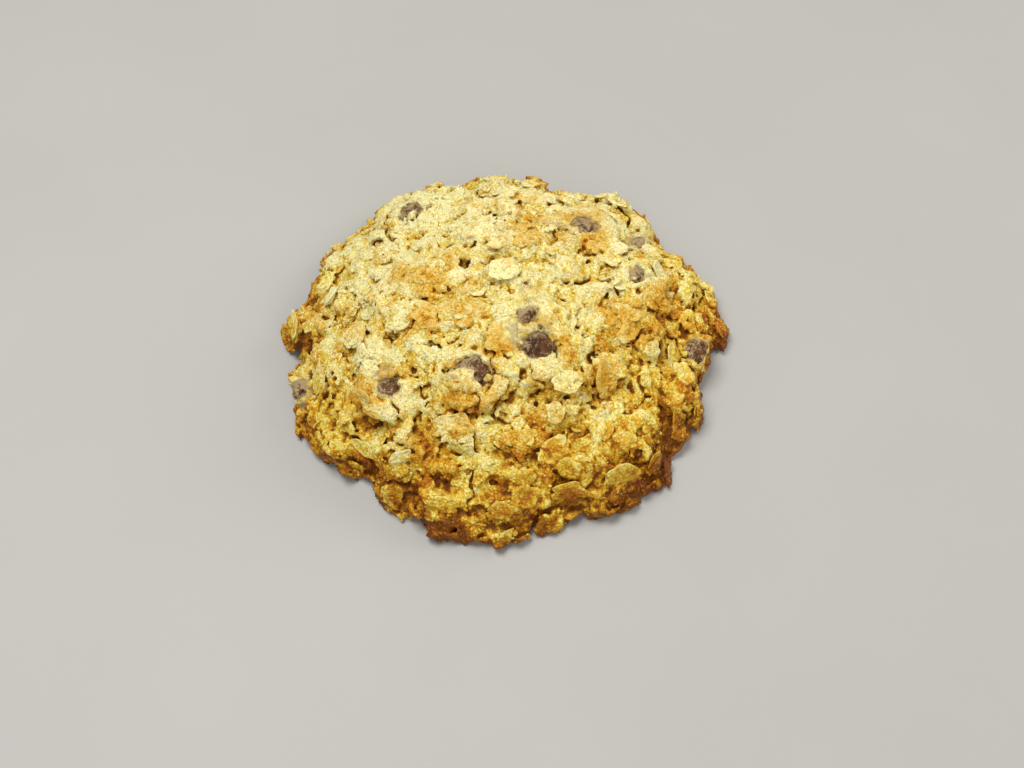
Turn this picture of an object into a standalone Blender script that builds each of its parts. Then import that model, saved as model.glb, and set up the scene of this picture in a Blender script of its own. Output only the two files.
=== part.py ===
"""Oatmeal chocolate chip cookie, baked as one tall craggy mound. Metres, +Z up, resting on z = 0.

The dough is one solid: a dome, with clumps, oat flakes and a thin lacy foot fused to it. Each chocolate
chip that shows is a solid of its own, sunk into a pocket of the dough.
"""

import math
import random

import bmesh
import bpy
from mathutils import Matrix, Vector, noise

MM = 0.001

# The mound, under its clumps.
BASE_RADIUS = 60.0 * MM
DOME_HEIGHT = 31.0 * MM
DOME_BELLY = 2.2  # how far out the top stays level
DOME_SHOULDER = 0.75  # how steeply the flank falls to the rim
DOME_SUBDIVISIONS = 6
DOME_SKIRT = 0.05  # how far the ball is kept below its middle, to be cut level later
DOME_TRIANGLES = 4700
SWELLS = ((34.0 * MM, 1.4 * MM), (4.5 * MM, 0.9 * MM))  # wavelength and height of its unevenness

# Where the rim runs out or draws in: the angle seen from above, half its width, and how far.
RIM_WAVES = (
    (14, 12, 1.4 * MM),
    (31, 6, -5.6 * MM),
    (51, 7, 1.6 * MM),
    (68, 8, -1.8 * MM),
    (90, 38, -5.0 * MM),
    (102, 8, 0.8 * MM),
    (141, 4, -2.0 * MM),
    (166, 7, -2.6 * MM),
    (179, 5, 0.8 * MM),
    (187, 4, -4.4 * MM),
    (205, 12, -0.6 * MM),
    (230, 5, -3.4 * MM),
    (264, 9, 1.4 * MM),
    (288, 5, -4.6 * MM),
    (304, 7, -1.8 * MM),
    (323, 6, -3.2 * MM),
    (347, 8, -3.8 * MM),
)

# Thin lobes of spread dough at the foot: angle, how far out the middle lies, length, width, thickness.
FOOT_LOBES = (
    (3, 58.0 * MM, 14.0 * MM, 10.0 * MM, 7.0 * MM),
    (19, 57.0 * MM, 12.0 * MM, 9.0 * MM, 5.0 * MM),
    (52, 54.5 * MM, 17.0 * MM, 10.0 * MM, 5.0 * MM),
    (80, 51.5 * MM, 22.0 * MM, 10.0 * MM, 4.0 * MM),
    (103, 52.5 * MM, 22.0 * MM, 11.0 * MM, 4.0 * MM),
    (150, 55.5 * MM, 15.0 * MM, 9.0 * MM, 6.0 * MM),
    (179, 57.5 * MM, 11.0 * MM, 9.0 * MM, 8.0 * MM),
    (198, 56.5 * MM, 16.0 * MM, 9.0 * MM, 8.0 * MM),
    (222, 56.0 * MM, 18.0 * MM, 8.0 * MM, 4.5 * MM),
    (243, 55.5 * MM, 13.0 * MM, 9.0 * MM, 4.0 * MM),
    (258, 57.5 * MM, 14.0 * MM, 11.0 * MM, 4.0 * MM),
    (267, 58.0 * MM, 16.0 * MM, 11.0 * MM, 4.0 * MM),
    (299, 54.5 * MM, 11.0 * MM, 11.0 * MM, 4.5 * MM),
    (312, 53.5 * MM, 9.0 * MM, 8.0 * MM, 4.0 * MM),
    (333, 55.0 * MM, 13.0 * MM, 8.0 * MM, 9.0 * MM),
)

LOBE_CRUMPLE = (5.0 * MM, 1.6 * MM)  # wavelength and height of a lobe's unevenness

# Clumps that stand out of the mound: place from above, half length, half width, rise, heading in degrees.
MAIN_CLUMPS = (
    (23.0 * MM, -43.0 * MM, 13.0 * MM, 7.0 * MM, 3.6 * MM, 8),
    (46.0 * MM, -25.0 * MM, 9.0 * MM, 6.0 * MM, 3.4 * MM, 110),
    (-11.5 * MM, -39.5 * MM, 8.0 * MM, 5.5 * MM, 2.8 * MM, -10),
    (-24.0 * MM, 3.0 * MM, 9.5 * MM, 6.5 * MM, 2.8 * MM, 20),
    (-9.0 * MM, -12.0 * MM, 8.5 * MM, 6.0 * MM, 2.8 * MM, -25),
    (-45.0 * MM, -20.0 * MM, 7.0 * MM, 5.5 * MM, 3.0 * MM, 60),
    (29.0 * MM, -8.0 * MM, 8.5 * MM, 6.0 * MM, 2.8 * MM, 35),
    (3.0 * MM, 12.0 * MM, 10.0 * MM, 6.0 * MM, 2.6 * MM, 5),
    (-20.0 * MM, -20.0 * MM, 7.0 * MM, 5.0 * MM, 2.6 * MM, -40),
    (15.0 * MM, -30.0 * MM, 6.5 * MM, 5.0 * MM, 2.8 * MM, 15),
)
CLUMP_COUNT = 190
CLUMP_HALF_LENGTH = (3.6 * MM, 6.8 * MM)
CLUMP_WIDTH_SHARE = (0.6, 1.0)
CLUMP_RISE_SHARE = (0.34, 0.56)  # of its half length
CLUMP_BLUNTNESS = 0.6  # 1 is a smooth hill, 0 has upright sides
CLUMP_SCATTER = 3.0 * MM

# Rolled oats lying on and in the surface.
FLAKE_COUNT = 48
FLAKE_LENGTH = (6.5 * MM, 10.0 * MM)
FLAKE_WIDTH_SHARE = (0.62, 0.85)
FLAKE_THICKNESS = 1.5 * MM  # with the film of dough that coats it
FLAKE_CUP = 16.0  # per metre: how much a flake curls up towards its edge
FLAKE_RAGGEDNESS = 0.25  # how unevenly its edge runs, as a share of its size
FLAKE_NOTCH_SHARE = 0.3  # the length of that unevenness, as a share of the flake's
FLAKE_LEAN = 38  # degrees, at most
FLAKE_RISE = (-0.4 * MM, 0.7 * MM)
FLAKE_SIDES = 8
FLAKE_RINGS = 4
GOLDEN_ANGLE = math.pi * (3 - math.sqrt(5))

# Hollows between the clumps: place from above, and radius.
HOLLOWS = (
    (-11.0 * MM, 6.5 * MM, 1.6 * MM),
    (20.0 * MM, -8.0 * MM, 1.8 * MM),
    (21.0 * MM, 12.0 * MM, 1.5 * MM),
    (42.0 * MM, -17.0 * MM, 1.7 * MM),
    (50.0 * MM, -1.0 * MM, 1.6 * MM),
    (-29.0 * MM, -15.0 * MM, 2.4 * MM),
    (-24.0 * MM, -13.0 * MM, 1.9 * MM),
    (5.0 * MM, -28.0 * MM, 1.7 * MM),
    (-37.0 * MM, -22.0 * MM, 1.7 * MM),
    (-45.0 * MM, -21.5 * MM, 1.6 * MM),
    (14.0 * MM, -32.0 * MM, 1.5 * MM),
    (24.5 * MM, -34.0 * MM, 1.5 * MM),
    (34.5 * MM, -43.0 * MM, 2.0 * MM),
    (11.5 * MM, -44.0 * MM, 1.6 * MM),
    (-54.0 * MM, -10.5 * MM, 2.6 * MM),
    (23.5 * MM, -20.0 * MM, 1.5 * MM),
)
HOLLOW_DEPTH_SHARE = 0.35  # of its radius, from the surface down to its middle

# The chips that show: name, place from above, rise of the middle, radius, lean and the heading it leans to.
CHIPS = (
    ("chip_centre", 8.2 * MM, -19.0 * MM, 0.7 * MM, 5.5 * MM, 38, -80),
    ("chip_centre_back", 6.0 * MM, -11.0 * MM, -0.1 * MM, 4.1 * MM, 25, 200),
    ("chip_front_left", -7.6 * MM, -25.8 * MM, 0.3 * MM, 5.4 * MM, 40, -120),
    ("chip_left_small", -28.4 * MM, -26.9 * MM, -0.2 * MM, 4.0 * MM, 60, -110),
    ("chip_back_left", -25.0 * MM, 28.0 * MM, -0.3 * MM, 5.0 * MM, 55, 135),
    ("chip_back_right", 21.5 * MM, 20.7 * MM, -0.4 * MM, 4.8 * MM, 50, 80),
    ("chip_right_small", 35.0 * MM, 7.0 * MM, -0.8 * MM, 4.2 * MM, 60, 20),
    ("chip_right_rim", 51.6 * MM, -7.4 * MM, -0.6 * MM, 4.8 * MM, 70, -15),
    ("chip_left_rim", -52.6 * MM, -19.4 * MM, 0.0 * MM, 5.0 * MM, 70, 200),
    ("chip_back_rim", 36.6 * MM, 24.2 * MM, -0.5 * MM, 4.2 * MM, 60, 40),
)
CHIP_HEIGHT_SHARE = 1.25  # of the radius: how high the domed part stands
CHIP_FOOT_SHARE = 0.1  # of that height: the upright band under the dome
CHIP_BASE_SHARE = 0.93  # the flat base, against the widest part
CHIP_FULLNESS = (1.15, 1.05)  # how pointed the dome is, sideways and upwards: 1 and 1 is round
CHIP_PROFILE_POINTS = 6
CHIP_STEPS = 12
POCKET_GAP = 0.33 * MM
CHIP_CLEARANCE = 6.0 * MM  # no clump or flake has its middle this near a chip, seen from above
OPENING_SHARE = 0.9  # the opening over a chip, against its radius

SEED = 7
SLIVER = 0.001 * MM
NUDGE = 0.005 * MM
SHARP_EDGE = 50  # degrees
BELOW_MARGIN = 20.0 * MM
LEVEL = 0.01 * MM  # what is this near z = 0 belongs to the flat base

DOUGH_COLOUR = (0.62, 0.39, 0.13)
CHIP_COLOUR = (0.085, 0.032, 0.018)


def clear_scene():
    for obj in list(bpy.data.objects):
        bpy.data.objects.remove(obj)


def new_collection(name, shown):
    collection = bpy.data.collections.new(name)
    bpy.context.scene.collection.children.link(collection)
    collection.hide_render = not shown
    return collection


def new_material(name, colour, roughness):
    material = bpy.data.materials.new(name)
    material.use_nodes = True
    shader = material.node_tree.nodes["Principled BSDF"]
    shader.inputs["Base Color"].default_value = (*colour, 1.0)
    shader.inputs["Roughness"].default_value = roughness
    shader.inputs["Metallic"].default_value = 0.0
    return material


def face_out(bm):
    if bm.calc_volume(signed=True) < 0:
        bmesh.ops.reverse_faces(bm, faces=bm.faces)
    bm.normal_update()


def object_from(bm, name, collection, helper=True):
    """A new object that holds this bmesh. A helper is a cutter or a piece that is fused to another."""
    face_out(bm)
    mesh = bpy.data.meshes.new(name)
    bm.to_mesh(mesh)
    bm.free()
    obj = bpy.data.objects.new(name, mesh)
    collection.objects.link(obj)
    if helper:
        obj.hide_render = True
        obj.display_type = "WIRE"
    return obj


def turn_between(angle, other):
    """The smallest turn in degrees from one heading to another."""
    return (angle - other + 180) % 360 - 180


def rim_radius(heading):
    """The mound's outline from above, at a heading in radians."""
    degrees = math.degrees(heading)
    waves = (
        reach * math.exp(-((turn_between(degrees, at) / half) ** 2))
        for at, half, reach in RIM_WAVES
    )
    return BASE_RADIUS + sum(waves)


def dome_height(share):
    """The mound's height at this share of the way from its middle to its rim."""
    return DOME_HEIGHT * (1 - min(share, 1.0) ** DOME_BELLY) ** DOME_SHOULDER


def swell(point):
    """How far the uneven surface stands out from the smooth dome."""
    return sum(noise.noise(point / length) * height for length, height in SWELLS)


def clump_rise(point, clumps):
    """How far the tallest clump at this point of the dome stands out of it."""
    highest = 0.0
    for middle, along, half_length, half_width, rise in clumps:
        offset = point - middle
        lengthwise = offset.dot(along)
        sideways = offset.length_squared - lengthwise**2
        spent = (lengthwise / half_length) ** 2 + sideways / half_width**2
        if spent < 1:
            highest = max(highest, rise * (1 - spent) ** CLUMP_BLUNTNESS)
    return highest


def dome_normal(point):
    """The way out of the dome, from the slopes of its formula."""
    radius = math.hypot(point.x, point.y)
    rim = rim_radius(math.atan2(point.y, point.x))
    outward = DOME_BELLY * (radius / rim) ** (DOME_BELLY - 1) / rim
    power = 1 / DOME_SHOULDER
    upward = power * max(point.z / DOME_HEIGHT, 0.0) ** (power - 1) / DOME_HEIGHT
    level = Vector((point.x, point.y, 0)).normalized() * outward
    return (level + Vector((0, 0, upward))).normalized()


def on_dome(x, y, clumps=()):
    """The point of the uneven surface over a place on the base, and the way out of it."""
    share = math.hypot(x, y) / rim_radius(math.atan2(y, x))
    point = Vector((x, y, dome_height(share)))
    normal = dome_normal(point)
    return point + normal * (swell(point) + clump_rise(point, clumps)), normal


def spread_over_dome(count, start):
    """Places spread evenly over the dome on a golden spiral, from the top to just above the rim."""
    for index in range(count):
        up = 1 - (index + start) / count
        level = math.sqrt(1 - up * up)
        heading = index * GOLDEN_ANGLE
        reach = level * rim_radius(heading)
        yield reach * math.cos(heading), reach * math.sin(heading)


def facing(normal, heading, lean, lean_heading):
    """A rotation whose z axis is the surface normal, leant over, and whose x axis has this heading."""
    upright = normal.to_track_quat("Z", "Y").to_matrix()
    turned = Matrix.Rotation(math.radians(lean_heading), 3, "Z")
    leant = turned @ Matrix.Rotation(math.radians(lean), 3, "Y") @ turned.inverted()
    return upright @ leant @ Matrix.Rotation(math.radians(heading), 3, "Z")


def clear_of_chips(x, y):
    return all(math.hypot(x - chip[1], y - chip[2]) > CHIP_CLEARANCE for chip in CHIPS)


def place(bm, point, rotation):
    bm.transform(Matrix.Translation(point) @ rotation.to_4x4())


def roughen(bm, length, height):
    """Moves each vertex out or in by a smooth noise of this wavelength and height."""
    for vertex in bm.verts:
        out = vertex.normal if vertex.normal.length > 0 else vertex.co.normalized()
        vertex.co += out * noise.noise(vertex.co / length) * height


def make_clumps():
    """Every clump's middle on the smooth dome, the way it runs, half its length and width, and its rise."""
    draw = random.Random(SEED)
    listed = list(MAIN_CLUMPS)
    for x, y in spread_over_dome(CLUMP_COUNT, start=0.5):
        half_length = draw.uniform(*CLUMP_HALF_LENGTH)
        half_width = half_length * draw.uniform(*CLUMP_WIDTH_SHARE)
        rise = half_length * draw.uniform(*CLUMP_RISE_SHARE)
        place_x = x + draw.uniform(-CLUMP_SCATTER, CLUMP_SCATTER)
        place_y = y + draw.uniform(-CLUMP_SCATTER, CLUMP_SCATTER)
        listed.append((place_x, place_y, half_length, half_width, rise, draw.uniform(0, 360)))
    clumps = []
    for x, y, half_length, half_width, rise, heading in listed:
        share = math.hypot(x, y) / rim_radius(math.atan2(y, x))
        turn = math.radians(heading)
        along = Vector((math.cos(turn), math.sin(turn), 0))
        middle = Vector((x, y, dome_height(share)))
        clumps.append((middle, along, half_length, half_width, rise))
    return clumps


def make_mound(collection, clumps):
    """The dome: the upper half of a ball, drawn out to the rim and pushed out by its clumps."""
    bpy.ops.mesh.primitive_ico_sphere_add(subdivisions=DOME_SUBDIVISIONS, radius=1)
    ball = bpy.context.object
    bm = bmesh.new()
    bm.from_mesh(ball.data)
    bpy.data.objects.remove(ball)
    everything = bm.verts[:] + bm.edges[:] + bm.faces[:]
    bmesh.ops.bisect_plane(
        bm, geom=everything, plane_co=(0, 0, -DOME_SKIRT), plane_no=(0, 0, 1), clear_inner=True
    )
    for vertex in bm.verts:
        rise = min(vertex.co.z, 1.0)
        level = (1 - max(rise, 0.0) ** (1 / DOME_SHOULDER)) ** (1 / DOME_BELLY)
        heading = math.atan2(vertex.co.y, vertex.co.x)
        reach = level * rim_radius(heading)
        point = Vector((reach * math.cos(heading), reach * math.sin(heading), rise * DOME_HEIGHT))
        vertex.co = point + dome_normal(point) * (swell(point) + clump_rise(point, clumps))
    rim = [edge for edge in bm.edges if edge.is_boundary]
    bmesh.ops.holes_fill(bm, edges=rim, sides=0)
    bmesh.ops.triangulate(bm, faces=bm.faces)
    return object_from(bm, "cookie_dough", collection, helper=False)


def make_flake(collection, clumps, x, y, size, rise, heading, lean, lean_heading):
    """A rolled oat: a thin oval that curls up towards its edge."""
    length, width, thickness = size
    bm = bmesh.new()
    bmesh.ops.create_uvsphere(bm, u_segments=FLAKE_SIDES, v_segments=FLAKE_RINGS, radius=0.5)
    bm.transform(Matrix.Diagonal((length, width, thickness, 1)))
    for vertex in bm.verts:
        edge = Vector((vertex.co.x, vertex.co.y, x + y)) / (FLAKE_NOTCH_SHARE * length)
        ragged = 1 + FLAKE_RAGGEDNESS * noise.noise(edge)
        vertex.co.x *= ragged
        vertex.co.y *= ragged
        vertex.co.z += FLAKE_CUP * (vertex.co.x**2 + vertex.co.y**2)
    point, normal = on_dome(x, y, clumps)
    place(bm, point + normal * rise, facing(normal, heading, lean, lean_heading))
    return object_from(bm, "flake", collection)


def make_foot_lobe(collection, angle, reach, size):
    """A flat lobe of dough that ran out at the foot of the mound. It is cut level with the base later."""
    length, width, thickness = size
    bm = bmesh.new()
    bmesh.ops.create_icosphere(bm, subdivisions=2, radius=0.5)
    bm.transform(Matrix.Diagonal((width, length, 2 * thickness, 1)))
    heading = math.radians(angle)
    place(
        bm,
        Vector((reach * math.cos(heading), reach * math.sin(heading), 0)),
        Matrix.Rotation(heading, 3, "Z"),
    )
    bm.normal_update()
    roughen(bm, *LOBE_CRUMPLE)
    return object_from(bm, "foot_lobe", collection)


def make_relief(collection, clumps):
    """What is fused to the mound: the lobes at its foot, and the oats by one seeded draw."""
    draw = random.Random(SEED)
    for angle, reach, length, width, thickness in FOOT_LOBES:
        make_foot_lobe(collection, angle, reach, (length, width, thickness))
    for x, y in spread_over_dome(FLAKE_COUNT, start=0.6):
        length = draw.uniform(*FLAKE_LENGTH)
        size = (length, length * draw.uniform(*FLAKE_WIDTH_SHARE), FLAKE_THICKNESS)
        rise = draw.uniform(*FLAKE_RISE)
        turns = draw.uniform(0, 360), draw.uniform(0, FLAKE_LEAN), draw.uniform(0, 360)
        if clear_of_chips(x, y):
            make_flake(collection, clumps, x, y, size, rise, *turns)


def chip_profile(radius):
    """Half of a chocolate chip's outline, from its tip down its side and in along its flat base."""
    height = radius * CHIP_HEIGHT_SHARE
    points = []
    for index in range(CHIP_PROFILE_POINTS):
        turn = 0.5 * math.pi * index / (CHIP_PROFILE_POINTS - 1)
        side = radius * math.sin(turn) ** CHIP_FULLNESS[0]
        points.append((side, height * (math.cos(turn) ** CHIP_FULLNESS[1] + CHIP_FOOT_SHARE)))
    points.append((radius * CHIP_BASE_SHARE, 0.0))
    points.append((0.0, 0.0))
    return points


def make_chip(collection, material, chip):
    name, x, y, rise, radius, lean, lean_heading = chip
    profile = bmesh.new()
    previous = None
    for side, height in chip_profile(radius):
        vertex = profile.verts.new((side, 0, height - radius * CHIP_HEIGHT_SHARE / 2))
        if previous:
            profile.edges.new((previous, vertex))
        previous = vertex
    mesh = bpy.data.meshes.new(name)
    profile.to_mesh(mesh)
    profile.free()
    obj = bpy.data.objects.new(name, mesh)
    collection.objects.link(obj)
    screw = obj.modifiers.new("turn", "SCREW")
    screw.axis = "Z"
    screw.steps = CHIP_STEPS
    screw.render_steps = CHIP_STEPS
    screw.use_merge_vertices = True
    screw.merge_threshold = 0.01 * MM
    screw.use_smooth_shade = True
    point, normal = on_dome(x, y)
    rotation = facing(Vector((0, 0, 1)), 0, lean, lean_heading)
    obj.matrix_world = Matrix.Translation(point + normal * rise) @ rotation.to_4x4()
    mesh.materials.append(material)
    return obj


def solid_mesh_of(obj):
    """The object's evaluated mesh, as a bmesh in world space."""
    bpy.context.view_layer.update()
    evaluated = obj.evaluated_get(bpy.context.evaluated_depsgraph_get())
    mesh = bpy.data.meshes.new_from_object(evaluated)
    bm = bmesh.new()
    bm.from_mesh(mesh)
    bm.transform(obj.matrix_world)
    bpy.data.meshes.remove(mesh)
    face_out(bm)
    return bm


def make_cutters(collection, chips):
    """The chips' pockets and openings, the hollows between clumps, and the level it was baked on."""
    for chip in chips:
        bm = solid_mesh_of(chip)
        for vertex in bm.verts:
            vertex.co += vertex.normal * POCKET_GAP
        object_from(bm, "pocket_" + chip.name, collection)
    for name, x, y, rise, radius, lean, lean_heading in CHIPS:
        point, normal = on_dome(x, y)
        bm = bmesh.new()
        bmesh.ops.create_icosphere(bm, subdivisions=2, radius=radius * OPENING_SHARE)
        place(bm, point + normal * (rise + radius), facing(normal, 0, 0, 0))
        object_from(bm, "opening_" + name, collection)
    for x, y, radius in HOLLOWS:
        point, normal = on_dome(x, y)
        bm = bmesh.new()
        bmesh.ops.create_icosphere(bm, subdivisions=1, radius=radius)
        place(bm, point - normal * radius * HOLLOW_DEPTH_SHARE, facing(normal, 0, 0, 0))
        object_from(bm, "hollow", collection)
    side = 2 * (BASE_RADIUS + BELOW_MARGIN)
    below = bmesh.new()
    bmesh.ops.create_cube(below, size=1)
    below.transform(Matrix.Diagonal((side, side, BELOW_MARGIN, 1)))
    below.transform(Matrix.Translation((0, 0, -BELOW_MARGIN / 2)))
    object_from(below, "below_base", collection)


def apply_boolean(obj, operation, collection):
    """Joins or cuts the object with a whole collection, and removes the collection's objects."""
    modifier = obj.modifiers.new(operation.lower(), "BOOLEAN")
    modifier.operation = operation
    modifier.operand_type = "COLLECTION"
    modifier.collection = collection
    modifier.solver = "MANIFOLD"
    bpy.context.view_layer.update()
    evaluated = obj.evaluated_get(bpy.context.evaluated_depsgraph_get())
    mesh = bpy.data.meshes.new_from_object(evaluated)
    obj.modifiers.clear()
    obj.data = mesh
    for other in list(collection.objects):
        bpy.data.objects.remove(other)


def separate_touching(obj):
    """Drops slivers, then nudges each vertex a hair, so that no two that only touch are taken for one."""
    bm = bmesh.new()
    bm.from_mesh(obj.data)
    bmesh.ops.dissolve_degenerate(bm, dist=SLIVER, edges=bm.edges)
    bmesh.ops.triangulate(bm, faces=bm.faces)
    draw = random.Random(SEED)
    for vertex in bm.verts:
        nudge = Vector([draw.uniform(-NUDGE, NUDGE) for _ in range(3)])
        if vertex.co.z < LEVEL:
            nudge.z = -vertex.co.z
        vertex.co += nudge
    bm.to_mesh(obj.data)
    bm.free()


def thin_out(obj, triangles):
    """Collapses the edges that show least, down to this many triangles."""
    modifier = obj.modifiers.new("thin out", "DECIMATE")
    modifier.ratio = triangles / len(obj.data.polygons)
    bpy.context.view_layer.update()
    evaluated = obj.evaluated_get(bpy.context.evaluated_depsgraph_get())
    mesh = bpy.data.meshes.new_from_object(evaluated)
    obj.modifiers.clear()
    obj.data = mesh


def keep_largest_body(obj):
    """Drops loose scraps and the walls of sealed hollows, which fills them."""
    bm = bmesh.new()
    bm.from_mesh(obj.data)
    unseen = set(bm.faces)
    bodies = []
    while unseen:
        front = [unseen.pop()]
        body = set(front)
        while front:
            joined = [edge for edge in front.pop().edges if len(edge.link_faces) == 2]
            for other in {face for edge in joined for face in edge.link_faces} & unseen:
                unseen.discard(other)
                body.add(other)
                front.append(other)
        bodies.append(body)
    bodies.sort(key=len)
    for body in bodies[:-1]:
        bmesh.ops.delete(bm, geom=list(body), context="FACES")
    bm.to_mesh(obj.data)
    bm.free()


def centre_on_base(objects):
    """Moves everything so that the middle of its bounding box, seen from above, is the origin."""
    corners = []
    for obj in objects:
        bm = solid_mesh_of(obj)
        corners += [vertex.co.copy() for vertex in bm.verts]
        bm.free()
    middle_x = (min(c.x for c in corners) + max(c.x for c in corners)) / 2
    middle_y = (min(c.y for c in corners) + max(c.y for c in corners)) / 2
    for obj in objects:
        obj.matrix_world = Matrix.Translation((-middle_x, -middle_y, 0)) @ obj.matrix_world


def main():
    clear_scene()
    cookie = new_collection("oatmeal_chocolate_chip_cookie", shown=True)
    relief = new_collection("relief", shown=False)
    cutters = new_collection("cutters", shown=False)
    dough_material = new_material("baked_dough", DOUGH_COLOUR, 0.7)
    chip_material = new_material("chocolate", CHIP_COLOUR, 0.45)

    clumps = make_clumps()
    dough = make_mound(cookie, clumps)
    thin_out(dough, DOME_TRIANGLES)
    make_relief(relief, clumps)
    apply_boolean(dough, "UNION", relief)
    keep_largest_body(dough)
    chips = [make_chip(cookie, chip_material, chip) for chip in CHIPS]
    make_cutters(cutters, chips)
    apply_boolean(dough, "DIFFERENCE", cutters)
    keep_largest_body(dough)
    separate_touching(dough)
    keep_largest_body(dough)
    dough.data.materials.clear()
    dough.data.materials.append(dough_material)
    dough.data.shade_smooth()
    dough.data.set_sharp_from_angle(angle=math.radians(SHARP_EDGE))
    centre_on_base([dough, *chips])


main()
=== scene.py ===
"""The looks of the oatmeal chocolate chip cookie: craggy dough, oat flakes, crumbs and chocolate chips.

The dough and the chips are fields of distances on a grid, in millimetres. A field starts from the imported
solid, takes on lumps, oats, crumbs, cracks and holes, and is then made a mesh. Blender's own lengths are
metres.
"""

import itertools
import math

import bpy
import numpy as np
import openvdb
from mathutils import Matrix, Vector


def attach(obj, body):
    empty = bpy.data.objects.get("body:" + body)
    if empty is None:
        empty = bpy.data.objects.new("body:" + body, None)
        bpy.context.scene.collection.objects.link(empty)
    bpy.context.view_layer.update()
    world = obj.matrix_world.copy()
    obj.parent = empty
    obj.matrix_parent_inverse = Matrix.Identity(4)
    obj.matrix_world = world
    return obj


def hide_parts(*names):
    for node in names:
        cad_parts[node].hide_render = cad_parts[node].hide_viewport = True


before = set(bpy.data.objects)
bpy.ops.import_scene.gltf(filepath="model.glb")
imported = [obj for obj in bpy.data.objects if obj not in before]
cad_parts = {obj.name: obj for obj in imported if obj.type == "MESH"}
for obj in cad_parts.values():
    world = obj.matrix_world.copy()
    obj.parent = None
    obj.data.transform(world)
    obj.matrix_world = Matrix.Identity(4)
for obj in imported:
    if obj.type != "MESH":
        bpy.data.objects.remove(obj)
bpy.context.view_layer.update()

MM = 0.001

# The camera looks along +Y and down. It is turned about X alone.
CAMERA_PLACE = (1.90 * MM, -191.94 * MM, 291.15 * MM)
CAMERA_PITCH = 58.0  # degrees below level
CAMERA_LENS = 43.7  # mm
CAMERA_SENSOR = 36.0  # mm wide
CAMERA_NEAREST = 0.01  # metres

# The grids. Lengths are in millimetres from here on, unless a comment says otherwise.
DOUGH_MARGIN = 2.5  # of grid around the dough
DOUGH_VOXEL = 0.42
DOUGH_TRIANGLES = 195000
CHIP_MARGIN = 2.0
CHIP_VOXEL = 0.25
CHIP_BLUR = 0.5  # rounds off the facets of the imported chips
CHIP_WAVES = ((4.0, 0.20, 50), (1.3, 0.10, 70))  # wavelength, height and seed of their unevenness
FACET_BLUR = 0.55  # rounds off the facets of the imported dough
CALM_BLUR = 2.0  # rounds off its clumps, for the way that the surface faces on the whole
CREST = 1.8  # how far its clumps may stand out from that calm surface
BAND = 4.0  # how far from a surface distances are known
BLUR_REACH = 2.5  # how many widths of a blur count
LEVEL_STEP = 4  # voxels along each side of the blocks that are levelled as one
LEVEL_PASSES = 4  # how often the blocks are averaged with their neighbours
SETTLE_STEPS = 3  # that take a place to the surface
SETTLED = 0.1  # a place this near the surface lies on it

# How far each kind of thing stays from its own kind and from the chips.
COATED_OAT_ROOM = (3.9, 1.5)
PIT_ROOM = (2.4, 1.5)
FLAKE_ROOM = (5.2, 3.5)

# The relief. The ground under it is sunk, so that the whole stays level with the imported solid.
RELIEF_SEED = 5
GROUND_SINK = 0.9
ROUGH_SINK = 0.45
GROUND_WAVES = ((6.0, 0.40, 11), (2.6, 0.18, 12))
FINE_WAVES = ((1.6, 0.10, 13), (1.1, 0.12, 14))
COATED_OAT_RADII = ((2.2, 4.0), (1.6, 2.8), (0.35, 0.55))
COATED_OAT_LEAN = 0.3  # radians
COATED_OAT_RISE = (-0.9, -0.3)
COATED_OAT_BEND = (0.0, 0.05)
LISTED_OAT_RADIUS = 0.5  # half its thickness
LISTED_OAT_BEND = 0.01

# Dough in lumps and in crumbs: room as above, radius (the more of them small, the higher the exponent) and
# its shares each way, lean in radians, how far sunk for the smallest radius, the power that shapes them as
# ellipsoids, the width of the crease around them and how far it is worked out, and tone.
LUMPS = {
    "room": (5.5, 2.5),
    "radius": (2.4, 5.0),
    "exponent": 1,
    "shares": (0.6, 1.0),
    "lean": 0.8,
    "sunk": (0.72, 1.05),
    "power": (1.6, 3.0),
    "crease": 0.5,
    "around": 1.0,
    "tone": (0.2, 0.8),
}
CRUMBS = {
    "room": (1.1, 0.2),
    "radius": (0.35, 0.95),
    "exponent": 2,
    "shares": (0.55, 1.0),
    "lean": 1.2,
    "sunk": (0.4, 1.0),
    "power": (1.5, 3.0),
    "crease": 0.12,
    "around": 0.6,
    "tone": (0.0, 1.0),
}

# Cracks follow a field of waves where it is near 0. None are below the first height.
CRACK_LENGTH = 10.0
CRACK_WAVES = ((CRACK_LENGTH, 1.0, 41), (2.4, 0.22, 42))
CRACK_SLOPE = 5  # about how much that field rises over its wavelength
CRACK_WIDTH = 0.40
CRACK_DEPTH = 1.8
CRACK_HEIGHTS = (4.0, 8.0)
CRACK_BREAKS = (15.0, 43)  # wavelength and seed
PIT_RADIUS = (0.25, 0.60)
PIT_SHAPE = ((1.2, 2.6), (0.6, 1.0), (1.3, 2.6))  # length, width and depth for that radius
PIT_HOLLOW = 0.555  # how filled the neighbourhood of a place is where a pit may open
PIT_REACH = 1.3
HOLE_WAVES = ((2.0, 0.28, 49), (1.1, 0.22, 40))
HOLE_SHARES = (-0.25, 0.0, 0.25)  # a listed hole is a ragged row of hollows, here along its length
HOLE_RADII = (0.24, 0.38)  # of its length, of its width and of twice its depth
DIMPLE_DEPTH = 0.6  # in the underside

# The flakes that lie at random, and how all flakes are built.
FLAKE_SEED = 21
FLAKE_LENGTH = (3.6, 7.6)
FLAKE_WIDTH = (0.55, 0.85)  # of its length
FLAKE_THICKNESS = (0.35, 0.60)
FLAKE_RISE = (-0.8, -0.35)
FLAKE_LEAN = 0.26  # radians
FLAKE_LOWEST = 3.0
FLAKE_APART = 5.5  # from the oats in the list
LISTED_FLAKE_SINK = 0.4
FLAKE_RINGS = (0.3, 0.6, 0.82, 0.95, 1.0)
FLAKE_SEGMENTS = 28

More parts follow.
